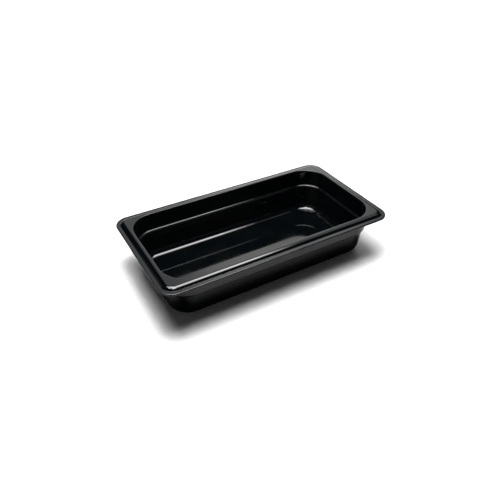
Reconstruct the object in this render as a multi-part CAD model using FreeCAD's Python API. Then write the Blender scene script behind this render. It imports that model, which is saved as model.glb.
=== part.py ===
import FreeCAD, Part
import math
import os

# One-third gastronorm food pan, 65 mm deep: a one-piece moulding in black polycarbonate.
# Frame: origin on the surface that the pan stands on, under the centre of the pan.
# +X along the long side, +Y across, +Z up. Millimetres.
#
# Every level of the pan is a rounded rectangle, given by how far its sides are inset from
# the rim's outline. The corners of the rim turn about one set of four upright axes, and
# the corners of the bowl about another set, further in, so the bowl's corners are larger.

V = FreeCAD.Vector

# ---- overall size
LENGTH = 325.0
WIDTH = 176.0
DEPTH = 65.0

# ---- corner axes: how far they are inset from the rim's outline
RIM_AXIS = 19.0
BOWL_AXIS = 47.5

# ---- rim: raised land round the mouth, rolled step, lower outer ledge
LEDGE_TOP = 62.0            # height of the outer ledge
RIM_THICK = 2.8             # thickness of land and ledge
STEP_FOOT_INSET = 5.1       # where the step meets the ledge
STEP_HEAD_INSET = 9.15      # where the step's slope would meet the land with no rounding
STEP_ROUND = 9.0            # the land rolls over into the step
STEP_FOOT_ROUND = 0.4
UNDER_STEP_SHIFT = 0.92     # how far inboard the step's underside is
UNDER_STEP_ROUND = 4.0
NOSE_ROUND = 1.2            # roundings of the ledge's outer nose

# ---- inside: mouth, upper band, stacking shoulder, tapered wall, floor
MOUTH_INSET = 14.5
MOUTH_ROUND = 1.2           # small rounding between land and inner wall
BAND_FOOT_INSET = 16.0      # the upper band is almost upright
BAND_FOOT_HEIGHT = 41.0
SHOULDER_INSET = 17.3       # lip of the shoulder
SHOULDER_HEIGHT = 40.7
SHOULDER_ROUND = 1.2        # at the lip and at the foot of the band
WALL_HEAD_INSET = 18.65     # the wall leans over into the shoulder
WALL_HEAD_HEIGHT = 39.1
WALL_HEAD_ROUND = 5.3
WALL_FOOT_INSET = 21.9      # where the tapered wall would meet the floor with no fillet
FLOOR_TOP = 3.4
FLOOR_FILLET = 9.2

# ---- outside: the same levels, one wall thickness out, over a wall that tapers more
WALL = 3.0
SHOULDER_DROP = 3.0         # the outside shoulder is this much lower than the inside one
BASE_INSET = 20.4           # where the wall would meet the standing plane with no rounding
BASE_ROUND = 14.0

# ---- base: a shallow recess leaves a ring for the pan to stand on
RECESS_INSET = 42.5
RECESS_AXIS = 57.0          # corner axes of the recess
RECESS_DEPTH = 0.8
RECESS_SLOPE = 1.6
GATE_DISH_RADIUS = 7.0      # round dish that the moulding's gate mark lies in
GATE_DISH_SLOPE = 0.8
GATE_DISH_DEPTH = 0.4
GATE_MARK_RADIUS = 1.5
GATE_MARK_DROP = 0.6        # the mark stands this far down out of the dish


def outline(inset, axis, height):
    """Wire of the rounded rectangle at one level, with its corners about the given axes."""
    corner = axis - inset
    ix = LENGTH / 2 - axis
    iy = WIDTH / 2 - axis
    corners = []
    for quarter, (sx, sy) in enumerate(((1, 1), (-1, 1), (-1, -1), (1, -1))):
        centre = V(sx * ix, sy * iy, height)
        turns = [(quarter + part / 2) * math.pi / 2 for part in range(3)]
        corners.append([centre + V(corner * math.cos(t), corner * math.sin(t), 0) for t in turns])
    edges = []
    for index, (start, middle, end) in enumerate(corners):
        following = corners[(index + 1) % 4][0]
        edges.append(Part.Arc(start, middle, end).toShape())
        edges.append(Part.LineSegment(end, following).toShape())
    return Part.Wire(edges)


def tapered(axis, low, high):
    """Solid between two levels, each given as (inset, height)."""
    wires = [outline(inset, axis, height) for inset, height in (low, high)]
    return Part.makeLoft(wires, True, True)


def rounded(shape, radius, inset, height):
    """The shape with the edges that follow one level's outline rounded."""
    edges = []
    for edge in shape.Edges:
        box = edge.optimalBoundingBox()
        flat = abs(box.ZMin - height) < 0.01 and abs(box.ZMax - height) < 0.01
        at_end = abs(max(-box.XMin, box.XMax) - (LENGTH / 2 - inset)) < 0.01
        at_side = abs(max(-box.YMin, box.YMax) - (WIDTH / 2 - inset)) < 0.01
        if flat and (at_end or at_side):
            edges.append(edge)
    return shape.makeFillet(radius, edges)


def bowl(gain, drop, foot, foot_round, top):
    """The bowl's form, filled; its levels above the foot lie outside and below the cavity's."""
    wall_head = (WALL_HEAD_INSET - gain, WALL_HEAD_HEIGHT - drop)
    shoulder = (SHOULDER_INSET - gain, SHOULDER_HEIGHT - drop)
    band_foot = (BAND_FOOT_INSET - gain, BAND_FOOT_HEIGHT - drop)
    band_head = (MOUTH_INSET - gain, top)
    form = tapered(BOWL_AXIS, foot, wall_head)
    form = rounded(form, foot_round, *foot)
    form = form.fuse([tapered(BOWL_AXIS, wall_head, shoulder),
                      tapered(BOWL_AXIS, shoulder, band_foot),
                      tapered(BOWL_AXIS, band_foot, band_head)])
    form = rounded(form, SHOULDER_ROUND, *band_foot)
    form = rounded(form, SHOULDER_ROUND, *shoulder)
    return rounded(form, WALL_HEAD_ROUND, *wall_head)


def rim():
    """Land, step and ledge, as a plate with the underside of the land hollowed out."""
    ledge_under = LEDGE_TOP - RIM_THICK
    land_under = DEPTH - RIM_THICK
    plate = tapered(RIM_AXIS, (0, ledge_under), (0, LEDGE_TOP))
    plate = rounded(plate, NOSE_ROUND, 0, LEDGE_TOP)
    plate = rounded(plate, NOSE_ROUND, 0, ledge_under)
    step_head = (STEP_HEAD_INSET, DEPTH)
    step_foot = (STEP_FOOT_INSET, LEDGE_TOP)
    plate = plate.fuse(tapered(RIM_AXIS, step_foot, step_head))
    plate = rounded(plate, STEP_ROUND, *step_head)
    plate = rounded(plate, STEP_FOOT_ROUND, *step_foot)
    hollow_head = (STEP_HEAD_INSET + UNDER_STEP_SHIFT, land_under)
    hollow = tapered(RIM_AXIS, (STEP_FOOT_INSET + UNDER_STEP_SHIFT, ledge_under), hollow_head)
    return plate.cut(rounded(hollow, UNDER_STEP_ROUND, *hollow_head))


def base_recess():
    """Shallow recess under the floor, inside the ring that the pan stands on."""
    return tapered(RECESS_AXIS, (RECESS_INSET, 0), (RECESS_INSET + RECESS_SLOPE, RECESS_DEPTH))


def gate_dish():
    """Round dish in the roof of the recess, round the mark where the plastic was fed in."""
    dish = Part.makeCone(GATE_DISH_RADIUS, GATE_DISH_RADIUS - GATE_DISH_SLOPE, GATE_DISH_DEPTH,
                         V(0, 0, RECESS_DEPTH))
    roof = RECESS_DEPTH + GATE_DISH_DEPTH
    mark = Part.makeCylinder(GATE_MARK_RADIUS, GATE_MARK_DROP, V(0, 0, roof - GATE_MARK_DROP))
    return dish, mark


def pan():
    outside = bowl(WALL, SHOULDER_DROP, (BASE_INSET, 0), BASE_ROUND, DEPTH - RIM_THICK)
    cavity = bowl(0, 0, (WALL_FOOT_INSET, FLOOR_TOP), FLOOR_FILLET, DEPTH)
    whole = outside.fuse(rim()).cut(cavity).cut(base_recess())
    dish, mark = gate_dish()
    whole = whole.cut(dish).fuse(mark).removeSplitter()
    return rounded(whole, MOUTH_ROUND, MOUTH_INSET, DEPTH).Solids[0]


os.makedirs("parts", exist_ok=True)
moulding = pan()
moulding.exportStep("parts/pan.step")
print("pan: valid", moulding.isValid(), "volume %.1f cm3" % (moulding.Volume / 1000))
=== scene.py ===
import math

import bpy
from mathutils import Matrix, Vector


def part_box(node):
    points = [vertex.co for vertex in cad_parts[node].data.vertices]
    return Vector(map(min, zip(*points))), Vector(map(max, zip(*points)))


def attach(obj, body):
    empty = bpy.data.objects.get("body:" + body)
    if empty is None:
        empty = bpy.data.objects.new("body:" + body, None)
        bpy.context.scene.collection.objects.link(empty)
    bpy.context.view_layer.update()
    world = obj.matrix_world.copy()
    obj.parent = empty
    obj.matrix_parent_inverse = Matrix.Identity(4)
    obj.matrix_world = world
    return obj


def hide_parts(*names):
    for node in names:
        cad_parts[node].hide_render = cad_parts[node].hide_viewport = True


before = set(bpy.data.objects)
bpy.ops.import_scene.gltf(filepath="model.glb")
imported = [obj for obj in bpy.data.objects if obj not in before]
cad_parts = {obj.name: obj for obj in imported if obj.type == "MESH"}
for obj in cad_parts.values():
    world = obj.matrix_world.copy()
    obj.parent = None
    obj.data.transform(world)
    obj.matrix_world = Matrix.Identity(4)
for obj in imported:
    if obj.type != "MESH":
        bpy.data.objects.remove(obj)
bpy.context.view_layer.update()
low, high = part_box("pan")

MM = 0.001

# ---- the pan's levels, as insets from the rim's outline and heights
RIM_AXIS = 19.0 * MM          # corner axes of the rim
BOWL_AXIS = 47.5 * MM         # corner axes of the bowl
RECESS_AXIS = 57.0 * MM       # corner axes of the recess under the base
LEDGE_DROP = 3.0 * MM
RIM_THICK = 2.8 * MM
STEP_FOOT = 5.1 * MM
STEP_HEAD = 9.15 * MM
UNDER_STEP_SHIFT = 0.92 * MM
MOUTH = 14.5 * MM
BAND_FOOT = (16.0 * MM, 41.0 * MM)
SHOULDER_LIP = (17.3 * MM, 40.7 * MM)
WALL_HEAD = (18.65 * MM, 39.1 * MM)
WALL_FOOT = (21.9 * MM, 3.4 * MM)
OUTER_FOOT = 20.4 * MM        # inset where the outside of the wall would meet the table
FLOOR_MIDDLE = 46.5 * MM      # inset of the innermost level of the floor
WALL = 3.0 * MM
SHOULDER_DROP = 3.0 * MM
RECESS = 42.5 * MM
RECESS_SLOPE = 1.6 * MM
RECESS_DEPTH = 0.8 * MM
BASE_EDGE = 22.0 * MM         # inset of the base's outline on the table
BASE_MIDDLE = 56.0 * MM       # inset of the innermost level of the base

# ---- roundings
STEP_ROUND = 9.0 * MM
STEP_FOOT_ROUND = 0.4 * MM
UNDER_STEP_ROUND = 4.0 * MM
NOSE_ROUND = 1.2 * MM
MOUTH_ROUND = 1.2 * MM
SHOULDER_ROUND = 1.2 * MM
WALL_HEAD_ROUND = 5.3 * MM
FLOOR_FILLET = 9.2 * MM
BASE_ROUND = 14.0 * MM

# ---- look of the plastic
BLACK = (0.0009, 0.0014, 0.0017, 1)
WORN_GREY = (0.011, 0.011, 0.0115, 1)
REFRACTION = 1.5
POLISHED = 0.05               # roughness where nothing adds to it
LEDGE_FINISH = 0.35           # how far the ledge's top is from polished to the outside's finish
LIP_WEAR = 0.4                # how rubbed the shoulder's lip is, when the rim's nose is 1
PEEL_DEPTH = 6e-6             # slight waviness of the moulding
GRAIN_DEPTH = 3e-6

# ---- fineness of the mesh
ARC_STEP = math.radians(7.5)  # largest turn between points of a rounding
CORNER_STEPS = 16             # steps round each corner of a level
LONG_STEPS = 28               # along each of its long sides
SHORT_STEPS = 14              # and along each of its short sides
STRAIGHT = 1e-6               # a corner of the section that turns less than this isn't rounded
SAME_PLACE = 7                # points that agree to this many decimals of a metre are one

# ---- studio, in metres and radiance
# brightness of the parts of the world
HORIZON_GLOW = 0.5
BACKDROP = 2.0
BACKDROP_LEFT = 0.42          # the backdrop's share of its brightness to the left
BACKDROP_RIGHT = 0.82         # and to the right
HIGH_BAND = 1.0
SIDE_BAND = 0.2
LEFT_GLOW = 0.18
FILL = 0.03                   # lights only matt surfaces, so the blacks stay deep
PALE = 0.96                   # brightness of the table and of what is beyond it, to the camera
# the table
TABLE_REACH = 6.0             # from its middle to each of its edges
TABLE_GAP = 0.2 * MM          # how far the table lies below the base, so that they don't touch
TABLE_SEEN = 0.9              # albedo to the camera
TABLE_REFLECTED = 0.42        # albedo in reflections and to bounced light
TABLE_PAINTED_SHADE = 0.07          # the same, close to the base, darkened further as a painted shadow
PAINTED_SHADE_FADE = (12 * MM, 30 * MM)    # distance from the base over which that painted shadow fades out
FAR_TABLE = (0.35, 1.1)       # distance from the middle over which the table starts to glow
# overhead panels
SOFTBOX_HEIGHT = 0.9
PANEL_GAP = 0.01              # difference in height between panels that overlap
PANEL_LEFT = -0.2
PANEL_DEPTH = (-0.22, 0.3)    # y range
CORE_DEPTH = (-0.08, 0.18)    # y range of the brighter core in the middle of each panel
CORE_GAIN = 1.5
# (right-hand edge, radiance) of each panel
PANELS = ((0.24, 0.8), (0.3, 1.0), (0.35, 1.9), (0.4, 1.9), (0.44, 1.5), (0.48, 1.0))
BRIGHT = 9.0                  # radiance of the panels further left

# ---- camera, from a fit to the lines of the rim
AZIMUTH = math.radians(-30.33)
ELEVATION = math.radians(35.52)
DISTANCE = 0.69785
SENSOR = 36.0
LENS = 37.08
SHIFT = (-0.00564, -0.02764)

# ---- round gate mark in the roof of the recess: (radius, depth above the standing plane)
GATE_DISH_EDGE = (7.0 * MM, RECESS_DEPTH)
GATE_DISH_ROOF = (6.2 * MM, RECESS_DEPTH + 0.4 * MM)
GATE_MARK_ROOT = (1.5 * MM, GATE_DISH_ROOF[1])
GATE_MARK_END = (1.5 * MM, GATE_DISH_ROOF[1] - 0.6 * MM)


def section():
    """Corners of the pan's section from the middle of the floor, over the rim, to the base.

    Each is (corner axis, inset, height, rounding).
    """
    top = high.z
    ledge = top - LEDGE_DROP
    return [
        (BOWL_AXIS, FLOOR_MIDDLE, WALL_FOOT[1], 0),
        (BOWL_AXIS, WALL_FOOT[0], WALL_FOOT[1], FLOOR_FILLET),
        (BOWL_AXIS, WALL_HEAD[0], WALL_HEAD[1], WALL_HEAD_ROUND),
        (BOWL_AXIS, SHOULDER_LIP[0], SHOULDER_LIP[1], SHOULDER_ROUND),
        (BOWL_AXIS, BAND_FOOT[0], BAND_FOOT[1], SHOULDER_ROUND),
        (BOWL_AXIS, MOUTH, top, MOUTH_ROUND),
        (RIM_AXIS, STEP_HEAD, top, STEP_ROUND),
        (RIM_AXIS, STEP_FOOT, ledge, STEP_FOOT_ROUND),
        (RIM_AXIS, 0, ledge, NOSE_ROUND),
        (RIM_AXIS, 0, ledge - RIM_THICK, NOSE_ROUND),
        (RIM_AXIS, STEP_FOOT + UNDER_STEP_SHIFT, ledge - RIM_THICK, 0),
        (RIM_AXIS, STEP_HEAD + UNDER_STEP_SHIFT, top - RIM_THICK, UNDER_STEP_ROUND),
        (BOWL_AXIS, MOUTH - WALL, top - RIM_THICK, 0),
        (BOWL_AXIS, BAND_FOOT[0] - WALL, BAND_FOOT[1] - SHOULDER_DROP, SHOULDER_ROUND),
        (BOWL_AXIS, SHOULDER_LIP[0] - WALL, SHOULDER_LIP[1] - SHOULDER_DROP, SHOULDER_ROUND),
        (BOWL_AXIS, WALL_HEAD[0] - WALL, WALL_HEAD[1] - SHOULDER_DROP, WALL_HEAD_ROUND),
        (BOWL_AXIS, OUTER_FOOT, 0, BASE_ROUND),
        (RECESS_AXIS, RECESS, 0, 0),
        (RECESS_AXIS, RECESS + RECESS_SLOPE, RECESS_DEPTH, 0),
        (RECESS_AXIS, BASE_MIDDLE, RECESS_DEPTH, 0),
    ]


def rounded_section(corners):
    """Points (corner axis, inset, height, normal) along the section, with arcs at its corners.

    The normal is (outward part, upward part), as the surface has it at that point. A sharp
    corner gives two points at one place, with the normal of each side.
    """
    points = []
    count = len(corners)
    for i, (axis, inset, height, radius) in enumerate(corners):
        here = Vector((-inset, height))
        before = Vector((-corners[i - 1][1], corners[i - 1][2])) if i else None
        after = Vector((-corners[i + 1][1], corners[i + 1][2])) if i + 1 < count else None
        d_in = (here - before).normalized() if before else None
        d_out = (after - here).normalized() if after else None
        d_in = d_in or d_out
        d_out = d_out or d_in
        # walking from the floor's middle outwards and over the rim, the plastic is on the right
        n_in = Vector((-d_in.y, d_in.x))
        n_out = Vector((-d_out.y, d_out.x))
        turn = math.atan2(d_in.x * d_out.y - d_in.y * d_out.x, d_in.dot(d_out))
        if radius == 0 or abs(turn) < STRAIGHT:
            points.append((axis, -here.x, here.y, n_in))
            if abs(turn) > STRAIGHT:
                points.append((axis, -here.x, here.y, n_out))
            continue
        tangent = radius * math.tan(abs(turn) / 2)
        start = here - d_in * tangent
        side = 1 if turn > 0 else -1
        centre = start + n_in * (side * radius)
        steps = max(2, math.ceil(abs(turn) / ARC_STEP))
        for k in range(steps + 1):
            angle = turn * k / steps
            normal = Vector((n_in.x * math.cos(angle) - n_in.y * math.sin(angle),
                             n_in.x * math.sin(angle) + n_in.y * math.cos(angle)))
            place = centre - normal * (side * radius)
            points.append((axis, -place.x, place.y, normal))
    return points


def ring(axis, inset, height, normal):
    """One level of the pan: (place, normal) round a rounded rectangle, anticlockwise."""
    radius = axis - inset
    ix, iy = high.x - axis, high.y - axis
    centres = [(ix, iy), (-ix, iy), (-ix, -iy), (ix, -iy)]
    loop = []
    for quarter, (cx, cy) in enumerate(centres):
        for k in range(CORNER_STEPS + 1):
            turn = (quarter + k / CORNER_STEPS) * math.pi / 2
            way = Vector((math.cos(turn), math.sin(turn), 0))
            loop.append((Vector((cx, cy, height)) + way * radius, way))
        nx, ny = centres[(quarter + 1) % 4]
        side_steps = LONG_STEPS if quarter % 2 == 0 else SHORT_STEPS
        turn = (quarter + 1) * math.pi / 2
        way = Vector((math.cos(turn), math.sin(turn), 0))
        for k in range(1, side_steps):
            share = k / side_steps
            middle = Vector((cx + (nx - cx) * share, cy + (ny - cy) * share, height))
            loop.append((middle + way * radius, way))
    return [(place, (way * normal.x + Vector((0, 0, normal.y))).normalized())
            for place, way in loop]


def surface_of(level):
    """What the surface is like at one level: (how far it is outside finish, how rubbed it is).

    The inside and the top of the rim are polished; the outside and the underside are softer.
    The rim's nose, the shoulder's lip and the standing ring are what other things rub.
    """
    axis, inset, height, normal = level
    drop = high.z - height
    # the outside leans in towards the base, so its normals point a little down, and the
    # underside's point further down
    faces_down = normal.y < -0.05
    on_ledge = axis == RIM_AXIS and inset < STEP_FOOT
    outside = 1.0 if faces_down else LEDGE_FINISH if on_ledge else 0.0
    at_nose = axis == RIM_AXIS and inset < NOSE_ROUND and drop < LEDGE_DROP + NOSE_ROUND
    at_lip = axis == BOWL_AXIS and abs(inset - SHOULDER_LIP[0]) < SHOULDER_ROUND and normal.y > 0.3
    at_ring = height < 0.3 * MM and normal.y < -0.9
    return outside, 1.0 if at_nose or at_ring else LIP_WEAR if at_lip else 0.0


def gate_rings(outer):
    """Round levels from the roof of the recess to the end of the gate mark.

    Each has as many points as the level outside it, spaced evenly, and the point across
    from the middle of a long side is the same one in both.
    """
    down = Vector((0, -1))
    corners = [GATE_DISH_EDGE, GATE_DISH_ROOF, GATE_MARK_ROOT, GATE_MARK_END]
    levels = [(GATE_DISH_EDGE, down)]
    for start, end in zip(corners, corners[1:]):
        along = Vector((end[0] - start[0], end[1] - start[1])).normalized()
        # walking in towards the middle under the base, the plastic is on the right
        side = Vector((-along.y, along.x))
        levels += [(start, side), (end, side)]
    levels.append((GATE_MARK_END, down))
    count = len(outer)
    middle = min((k for k in range(count) if outer[k][0].y > 0), key=lambda k: abs(outer[k][0].x))
    turns = [math.pi / 2 + (k - middle) * 2 * math.pi / count for k in range(count)]
    ways = [Vector((math.cos(turn), math.sin(turn), 0)) for turn in turns]
    return [[(way * radius + Vector((0, 0, height)), way * side.x + Vector((0, 0, side.y)))
             for way in ways] for (radius, height), side in levels]


def pan_mesh():
    """The whole moulding as one closed mesh, with the section's exact normals."""
    places, normals, faces = [], [], []
    levels = rounded_section(section())
    rings = [ring(*level) for level in levels]
    looks = [surface_of(level) for level in levels]
    rings += gate_rings(rings[-1])
    looks += [looks[-1]] * (len(rings) - len(looks))
    size = len(rings[0])
    index_of = {}

    def vertex(place):
        key = tuple(round(c, SAME_PLACE) for c in place)
        if key not in index_of:
            index_of[key] = len(places)
            places.append(place)
        return index_of[key]

    table = [[vertex(place) for place, _ in loop] for loop in rings]
    for lower, upper, low_loop, up_loop in zip(table, table[1:], rings, rings[1:]):
        for k in range(size):
            j = (k + 1) % size
            corners = [lower[j], lower[k], upper[k], upper[j]]
            wanted = [low_loop[j][1], low_loop[k][1], up_loop[k][1], up_loop[j][1]]
            face, kept = [], []
            for corner, normal in zip(corners, wanted):
                if corner not in face:
                    face.append(corner)
                    kept.append(normal)
            if len(face) > 2:
                faces.append(face)
                normals.append(kept)
    # the floor inside its innermost level, and the end of the gate mark, are fans of triangles
    for loop, up in ((table[0], 1), (table[-1], -1)):
        height = places[loop[0]].z
        centre = vertex(Vector((0, 0, height)))
        for k, index in enumerate(loop):
            following = loop[(k + 1) % size]
            pair = [index, following] if up > 0 else [following, index]
            faces.append(pair + [centre])
            normals.append([Vector((0, 0, up))] * 3)
    mesh = bpy.data.meshes.new("pan_body")
    mesh.from_pydata([tuple(p) for p in places], [], faces)
    mesh.update()
    mesh.polygons.foreach_set("use_smooth", [True] * len(mesh.polygons))
    mesh.normals_split_custom_set([tuple(n) for kept in normals for n in kept])
    for which, name in enumerate(("outside", "rubbed")):
        values = [0.0] * len(places)
        for loop, look in zip(table, looks):
            for index in loop:
                values[index] = max(values[index], look[which])
        mesh.attributes.new(name, "FLOAT", "POINT").data.foreach_set("value", values)
    return mesh


def math_node(tree, operation, *values):
    """Result of a Math node; each value is a number or the socket that feeds it."""
    node = tree.nodes.new("ShaderNodeMath")
    node.operation = operation
    for socket, value in zip(node.inputs, values):
        if isinstance(value, (int, float)):
            socket.default_value = value
        else:
            tree.links.new(value, socket)
    return node.outputs[0]


def added(tree, first, *others):
    """Sum of sockets and numbers, of which the first is a socket."""
    for other in others:
        first = math_node(tree, "ADD", first, other)
    return first


def product(tree, first, *others):
    """Product of sockets and numbers, of which the first is a socket."""
    for other in others:
        first = math_node(tree, "MULTIPLY", first, other)
    return first


def blend(tree, share, first, second):
    """Colour that goes from first, where share is 0, to second; each is a colour or a socket."""
    node = tree.nodes.new("ShaderNodeMix")
    node.data_type = "RGBA"
    tree.links.new(share, node.inputs["Factor"])
    for name, colour in (("A", first), ("B", second)):
        if isinstance(colour, tuple):
            node.inputs[name].default_value = colour
        else:
            tree.links.new(colour, node.inputs[name])
    return node.outputs["Result"]


def rise(tree, value, start, end):
    """0 where value is below start, 1 above end, smooth between."""
    node = tree.nodes.new("ShaderNodeMapRange")
    node.interpolation_type = "SMOOTHSTEP"
    tree.links.new(value, node.inputs["Value"])
    node.inputs["From Min"].default_value = start
    node.inputs["From Max"].default_value = end
    return node.outputs["Result"]


def noise(tree, place, scale, detail, stretch=(1, 1, 1), turn=0):
    """Noise with scale cells a metre, finer along the axes with a larger stretch.

    turn is the angle in degrees that the pattern is turned by, about the upright axis.
    """
    mapping = tree.nodes.new("ShaderNodeMapping")
    mapping.inputs["Rotation"].default_value = (0, 0, math.radians(turn))
    mapping.inputs["Scale"].default_value = stretch
    tree.links.new(place, mapping.inputs["Vector"])
    node = tree.nodes.new("ShaderNodeTexNoise")
    node.inputs["Scale"].default_value = scale
    node.inputs["Detail"].default_value = detail
    tree.links.new(mapping.outputs["Vector"], node.inputs["Vector"])
    return node.outputs["Fac"]


def attribute(tree, name):
    """Value that pan_mesh stored at each point under this name."""
    node = tree.nodes.new("ShaderNodeAttribute")
    node.attribute_name = name
    return node.outputs["Fac"]


def bump(tree, height, depth, before=None):
    """Normal with this height field in it, this many metres deep, on top of an earlier bump."""
    node = tree.nodes.new("ShaderNodeBump")
    node.inputs["Distance"].default_value = depth
    tree.links.new(height, node.inputs["Height"])
    if before:
        tree.links.new(before, node.inputs["Normal"])
    return node.outputs["Normal"]


def black_plastic():
    """Black polycarbonate: polished and barely wavy inside, finely grained outside, and used."""
    material = bpy.data.materials.new("black_polycarbonate")
    material.use_nodes = True
    tree = material.node_tree
    shader = tree.nodes["Principled BSDF"]
    shader.inputs["IOR"].default_value = REFRACTION
    place = tree.nodes.new("ShaderNodeTexCoord").outputs["Object"]
    outside = attribute(tree, "outside")
    rubbed = attribute(tree, "rubbed")

    # each is 0 where the surface is plain, and 1 where the noise is above its upper limit
    haze = rise(tree, noise(tree, place, 24, 3), 0.38, 0.68)
    specks = rise(tree, noise(tree, place, 850, 1), 0.7, 0.78)
    scuffs = rise(tree, noise(tree, place, 300, 4), 0.47, 0.66)
    wiped = rise(tree, noise(tree, place, 60, 2, (1, 22, 4), 14), 0.64, 0.7)
    dragged = rise(tree, noise(tree, place, 55, 2, (26, 1, 4), -9), 0.65, 0.71)
    hairlines = product(tree, math_node(tree, "MAXIMUM", wiped, dragged), haze)
    worn = product(tree, rubbed, scuffs)

    # what each adds to the roughness of polished plastic
    roughness = added(tree, product(tree, outside, 0.06), product(tree, haze, 0.035),
                      product(tree, specks, 0.15), product(tree, hairlines, 0.09),
                      product(tree, worn, 0.16), POLISHED)
    tree.links.new(roughness, shader.inputs["Roughness"])

    greyness = added(tree, product(tree, haze, 0.06), product(tree, worn, 0.8),
                     product(tree, specks, 0.3))
    tree.links.new(blend(tree, greyness, BLACK, WORN_GREY), shader.inputs["Base Color"])

    # the grain and the finer ripple are nearly gone where the surface is polished
    grain = product(tree, noise(tree, place, 2400, 1),
                    added(tree, product(tree, outside, 0.94), 0.06))
    ripple = product(tree, noise(tree, place, 520, 2),
                     added(tree, product(tree, outside, 0.5), 0.06))
    peel = added(tree, noise(tree, place, 140, 1), ripple)
    waves = bump(tree, peel, PEEL_DEPTH)
    tree.links.new(bump(tree, grain, GRAIN_DEPTH, waves), shader.inputs["Normal"])
    return material


def make_pan():
    """The pan, riding on the part's one body in place of its CAD node."""
    pan = bpy.data.objects.new("pan_body", pan_mesh())
    bpy.context.scene.collection.objects.link(pan)
    pan.data.materials.append(black_plastic())
    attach(pan, "root")
    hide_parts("pan")


def grey(level):
    """Colour with the same value in each channel."""
    return level, level, level, 1


def pale_table():
    """Matt table that is paler to the camera than in the pan's reflections, which show a painted
    shadow round the base.
    """
    material = bpy.data.materials.new("pale_table")
    material.use_nodes = True
    tree = material.node_tree
    shader = tree.nodes["Principled BSDF"]
    shader.inputs["Roughness"].default_value = 0.6
    shader.inputs["Specular IOR Level"].default_value = 0.2
    seen = tree.nodes.new("ShaderNodeLightPath").outputs["Is Camera Ray"]
    place = tree.nodes.new("ShaderNodeNewGeometry").outputs["Position"]
    # how far each point is beyond the base's outline, by the axis on which it is further
    split = tree.nodes.new("ShaderNodeSeparateXYZ")
    tree.links.new(place, split.inputs[0])
    beside = []
    for axis, reach in (("X", high.x - BASE_EDGE), ("Y", high.y - BASE_EDGE)):
        offset = math_node(tree, "ABSOLUTE", split.outputs[axis])
        beside.append(math_node(tree, "SUBTRACT", offset, reach))
    # 0 inside the painted shadow close to the base, 1 where that painted shadow has faded out
    past_painted_shade = rise(tree, math_node(tree, "MAXIMUM", *beside), *PAINTED_SHADE_FADE)
    # in reflections and to bounced light the table is darker, and close to the base darker still: a
    # painted shadow round the base, which the camera doesn't see directly
    lit = blend(tree, seen, grey(TABLE_REFLECTED), grey(TABLE_SEEN))
    share = math_node(tree, "MAXIMUM", past_painted_shade, seen)
    tree.links.new(blend(tree, share, grey(TABLE_PAINTED_SHADE), lit), shader.inputs["Base Color"])
    # far from the lights the table is as pale to the camera as it is near them
    length = tree.nodes.new("ShaderNodeVectorMath")
    length.operation = "LENGTH"
    tree.links.new(place, length.inputs[0])
    far = rise(tree, length.outputs["Value"], *FAR_TABLE)
    shader.inputs["Emission Color"].default_value = grey(PALE)
    tree.links.new(product(tree, far, seen), shader.inputs["Emission Strength"])
    return material


def make_floor():
    """Pale table under the pan, which belongs to the studio and not to the object."""
    mesh = bpy.data.meshes.new("floor")
    corners = [(x * TABLE_REACH, y * TABLE_REACH, 0) for x, y in ((-1, -1), (1, -1), (1, 1), (-1, 1))]
    mesh.from_pydata(corners, [], [(0, 1, 2, 3)])
    floor = bpy.data.objects.new("floor", mesh)
    floor.location.z = low.z - TABLE_GAP
    bpy.context.scene.collection.objects.link(floor)
    floor.data.materials.append(pale_table())


def make_camera():
    """Camera at the photo's angle and distance, looking at the middle of the pan."""
    across = math.cos(ELEVATION)
    back = Vector((math.sin(AZIMUTH) * across, -math.cos(AZIMUTH) * across, math.sin(ELEVATION)))
    data = bpy.data.cameras.new("camera")
    data.sensor_width = SENSOR
    data.lens = LENS
    data.shift_x, data.shift_y = SHIFT
    camera = bpy.data.objects.new("camera", data)
    bpy.context.scene.collection.objects.link(camera)
    camera.location = Vector((0, 0, high.z / 2)) + back * DISTANCE
    camera.rotation_mode = "QUATERNION"
    camera.rotation_quaternion = (-back).to_track_quat("-Z", "Y")
    bpy.context.scene.camera = camera


def softbox(name, left, right, near, far, up, radiance):
    """Overhead panel that gives this radiance all over, between two x and two y values."""
    data = bpy.data.lights.new(name, "AREA")
    data.shape = "RECTANGLE"
    data.size = right - left
    data.size_y = far - near
    data.energy = radiance * math.pi * data.size * data.size_y
    light = bpy.data.objects.new(name, data)
    light.location = ((left + right) / 2, (near + far) / 2, up)
    light.rotation_mode = "QUATERNION"
    light.rotation_quaternion = Vector((0, 0, -1)).to_track_quat("-Z", "Y")
    bpy.context.scene.collection.objects.link(light)
    return light


def make_lights():
    """Overhead panels, with their right-hand edges spread so that highlights end in a soft fade.

    They differ in height, because panels in one plane hide each other in reflections.
    """
    for number, (right, radiance) in enumerate(PANELS):
        up = SOFTBOX_HEIGHT + PANEL_GAP * number
        softbox("softbox_%d" % number, PANEL_LEFT, right, *PANEL_DEPTH, up, radiance)
        softbox("core_%d" % number, PANEL_LEFT, right, *CORE_DEPTH, up + PANEL_GAP / 2,
                radiance * CORE_GAIN)
    over_panels = SOFTBOX_HEIGHT + PANEL_GAP * (len(PANELS) + 1)
    softbox("left_panel", -0.32, 0.0, -0.3, 0.48, over_panels, BRIGHT)
    softbox("corner_panel", -0.44, -0.32, 0.05, 0.5, over_panels, BRIGHT)
    # a strip that shows in the rounded corners and lights nothing matt
    strip = softbox("strip", -0.5, -0.32, 0.0, 0.2, over_panels + 2 * PANEL_GAP, BRIGHT)
    strip.visible_diffuse = False


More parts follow.
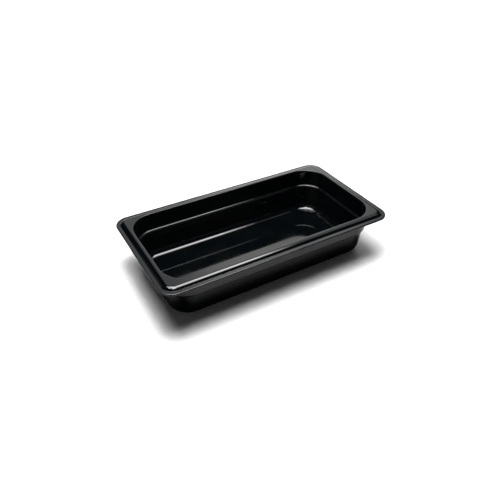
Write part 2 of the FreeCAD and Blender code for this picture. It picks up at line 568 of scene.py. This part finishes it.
def make_world():
    """World that is bright only in certain directions, each with soft edges.

    Angles are in degrees. Azimuth 0 is +Y, behind the pan, and 90 is +X, to its right.
    """
    world = bpy.data.worlds.new("studio")
    bpy.context.scene.world = world
    world.use_nodes = True
    tree = world.node_tree
    way = tree.nodes.new("ShaderNodeTexCoord").outputs["Generated"]
    split = tree.nodes.new("ShaderNodeSeparateXYZ")
    tree.links.new(way, split.inputs[0])
    up = split.outputs["Z"]
    azimuth = math_node(tree, "ARCTAN2", split.outputs["X"], split.outputs["Y"])

    def sine(degrees):
        return math.sin(math.radians(degrees))

    def right_of(start, end):
        return rise(tree, azimuth, math.radians(start), math.radians(end))

    def left_of(start, end):
        return rise(tree, azimuth, math.radians(end), math.radians(start))

    def over(start, end):
        return rise(tree, up, sine(start), sine(end))

    def under(start, end):
        return rise(tree, up, sine(end), sine(start))

    def at_least(least, share):
        return math_node(tree, "MULTIPLY_ADD", share, 1 - least, least)

    # the backdrop behind the pan is dimmer to the left, and ends in a soft edge on each side
    middle = product(tree, at_least(BACKDROP_LEFT, right_of(18, 27)),
                     at_least(BACKDROP_RIGHT, left_of(30, 40)))
    backdrop = product(tree, middle, right_of(-4, 8), left_of(40, 53), under(44, 62), BACKDROP)
    # one band high on the right, and one low on the left
    high_band = product(tree, right_of(42, 50), left_of(80, 98), over(40, 48), under(60, 70),
                        HIGH_BAND)
    side_band = product(tree, right_of(-56, -46), left_of(-38, -30), over(10, 18), under(22, 30),
                        SIDE_BAND)
    # light from the left and from the near right, which shows in reflections only
    path = tree.nodes.new("ShaderNodeLightPath").outputs
    glossy = path["Is Glossy Ray"]
    left_glow = product(tree, right_of(-150, -130), left_of(-70, -54), under(30, 50), glossy,
                        LEFT_GLOW)
    near_glow = product(tree, right_of(90, 110), under(14, 22), glossy, HORIZON_GLOW)
    # a low glow all round; where parts of the world overlap, the brightest one counts
    total = product(tree, under(4, 14), HORIZON_GLOW)
    for part in (backdrop, high_band, side_band, left_glow, near_glow):
        total = math_node(tree, "MAXIMUM", total, part)
    total = math_node(tree, "MULTIPLY_ADD", path["Is Diffuse Ray"], FILL, total)
    # what the camera sees directly beyond the table is as pale as the table
    strength = tree.nodes.new("ShaderNodeMix")
    tree.links.new(path["Is Camera Ray"], strength.inputs["Factor"])
    tree.links.new(total, strength.inputs["A"])
    strength.inputs["B"].default_value = PALE
    tree.links.new(strength.outputs["Result"], tree.nodes["Background"].inputs["Strength"])
    tree.nodes["Background"].inputs["Color"].default_value = grey(1)


make_camera()
make_pan()
make_floor()
make_world()
make_lights()
bpy.context.scene.view_settings.view_transform = "Standard"
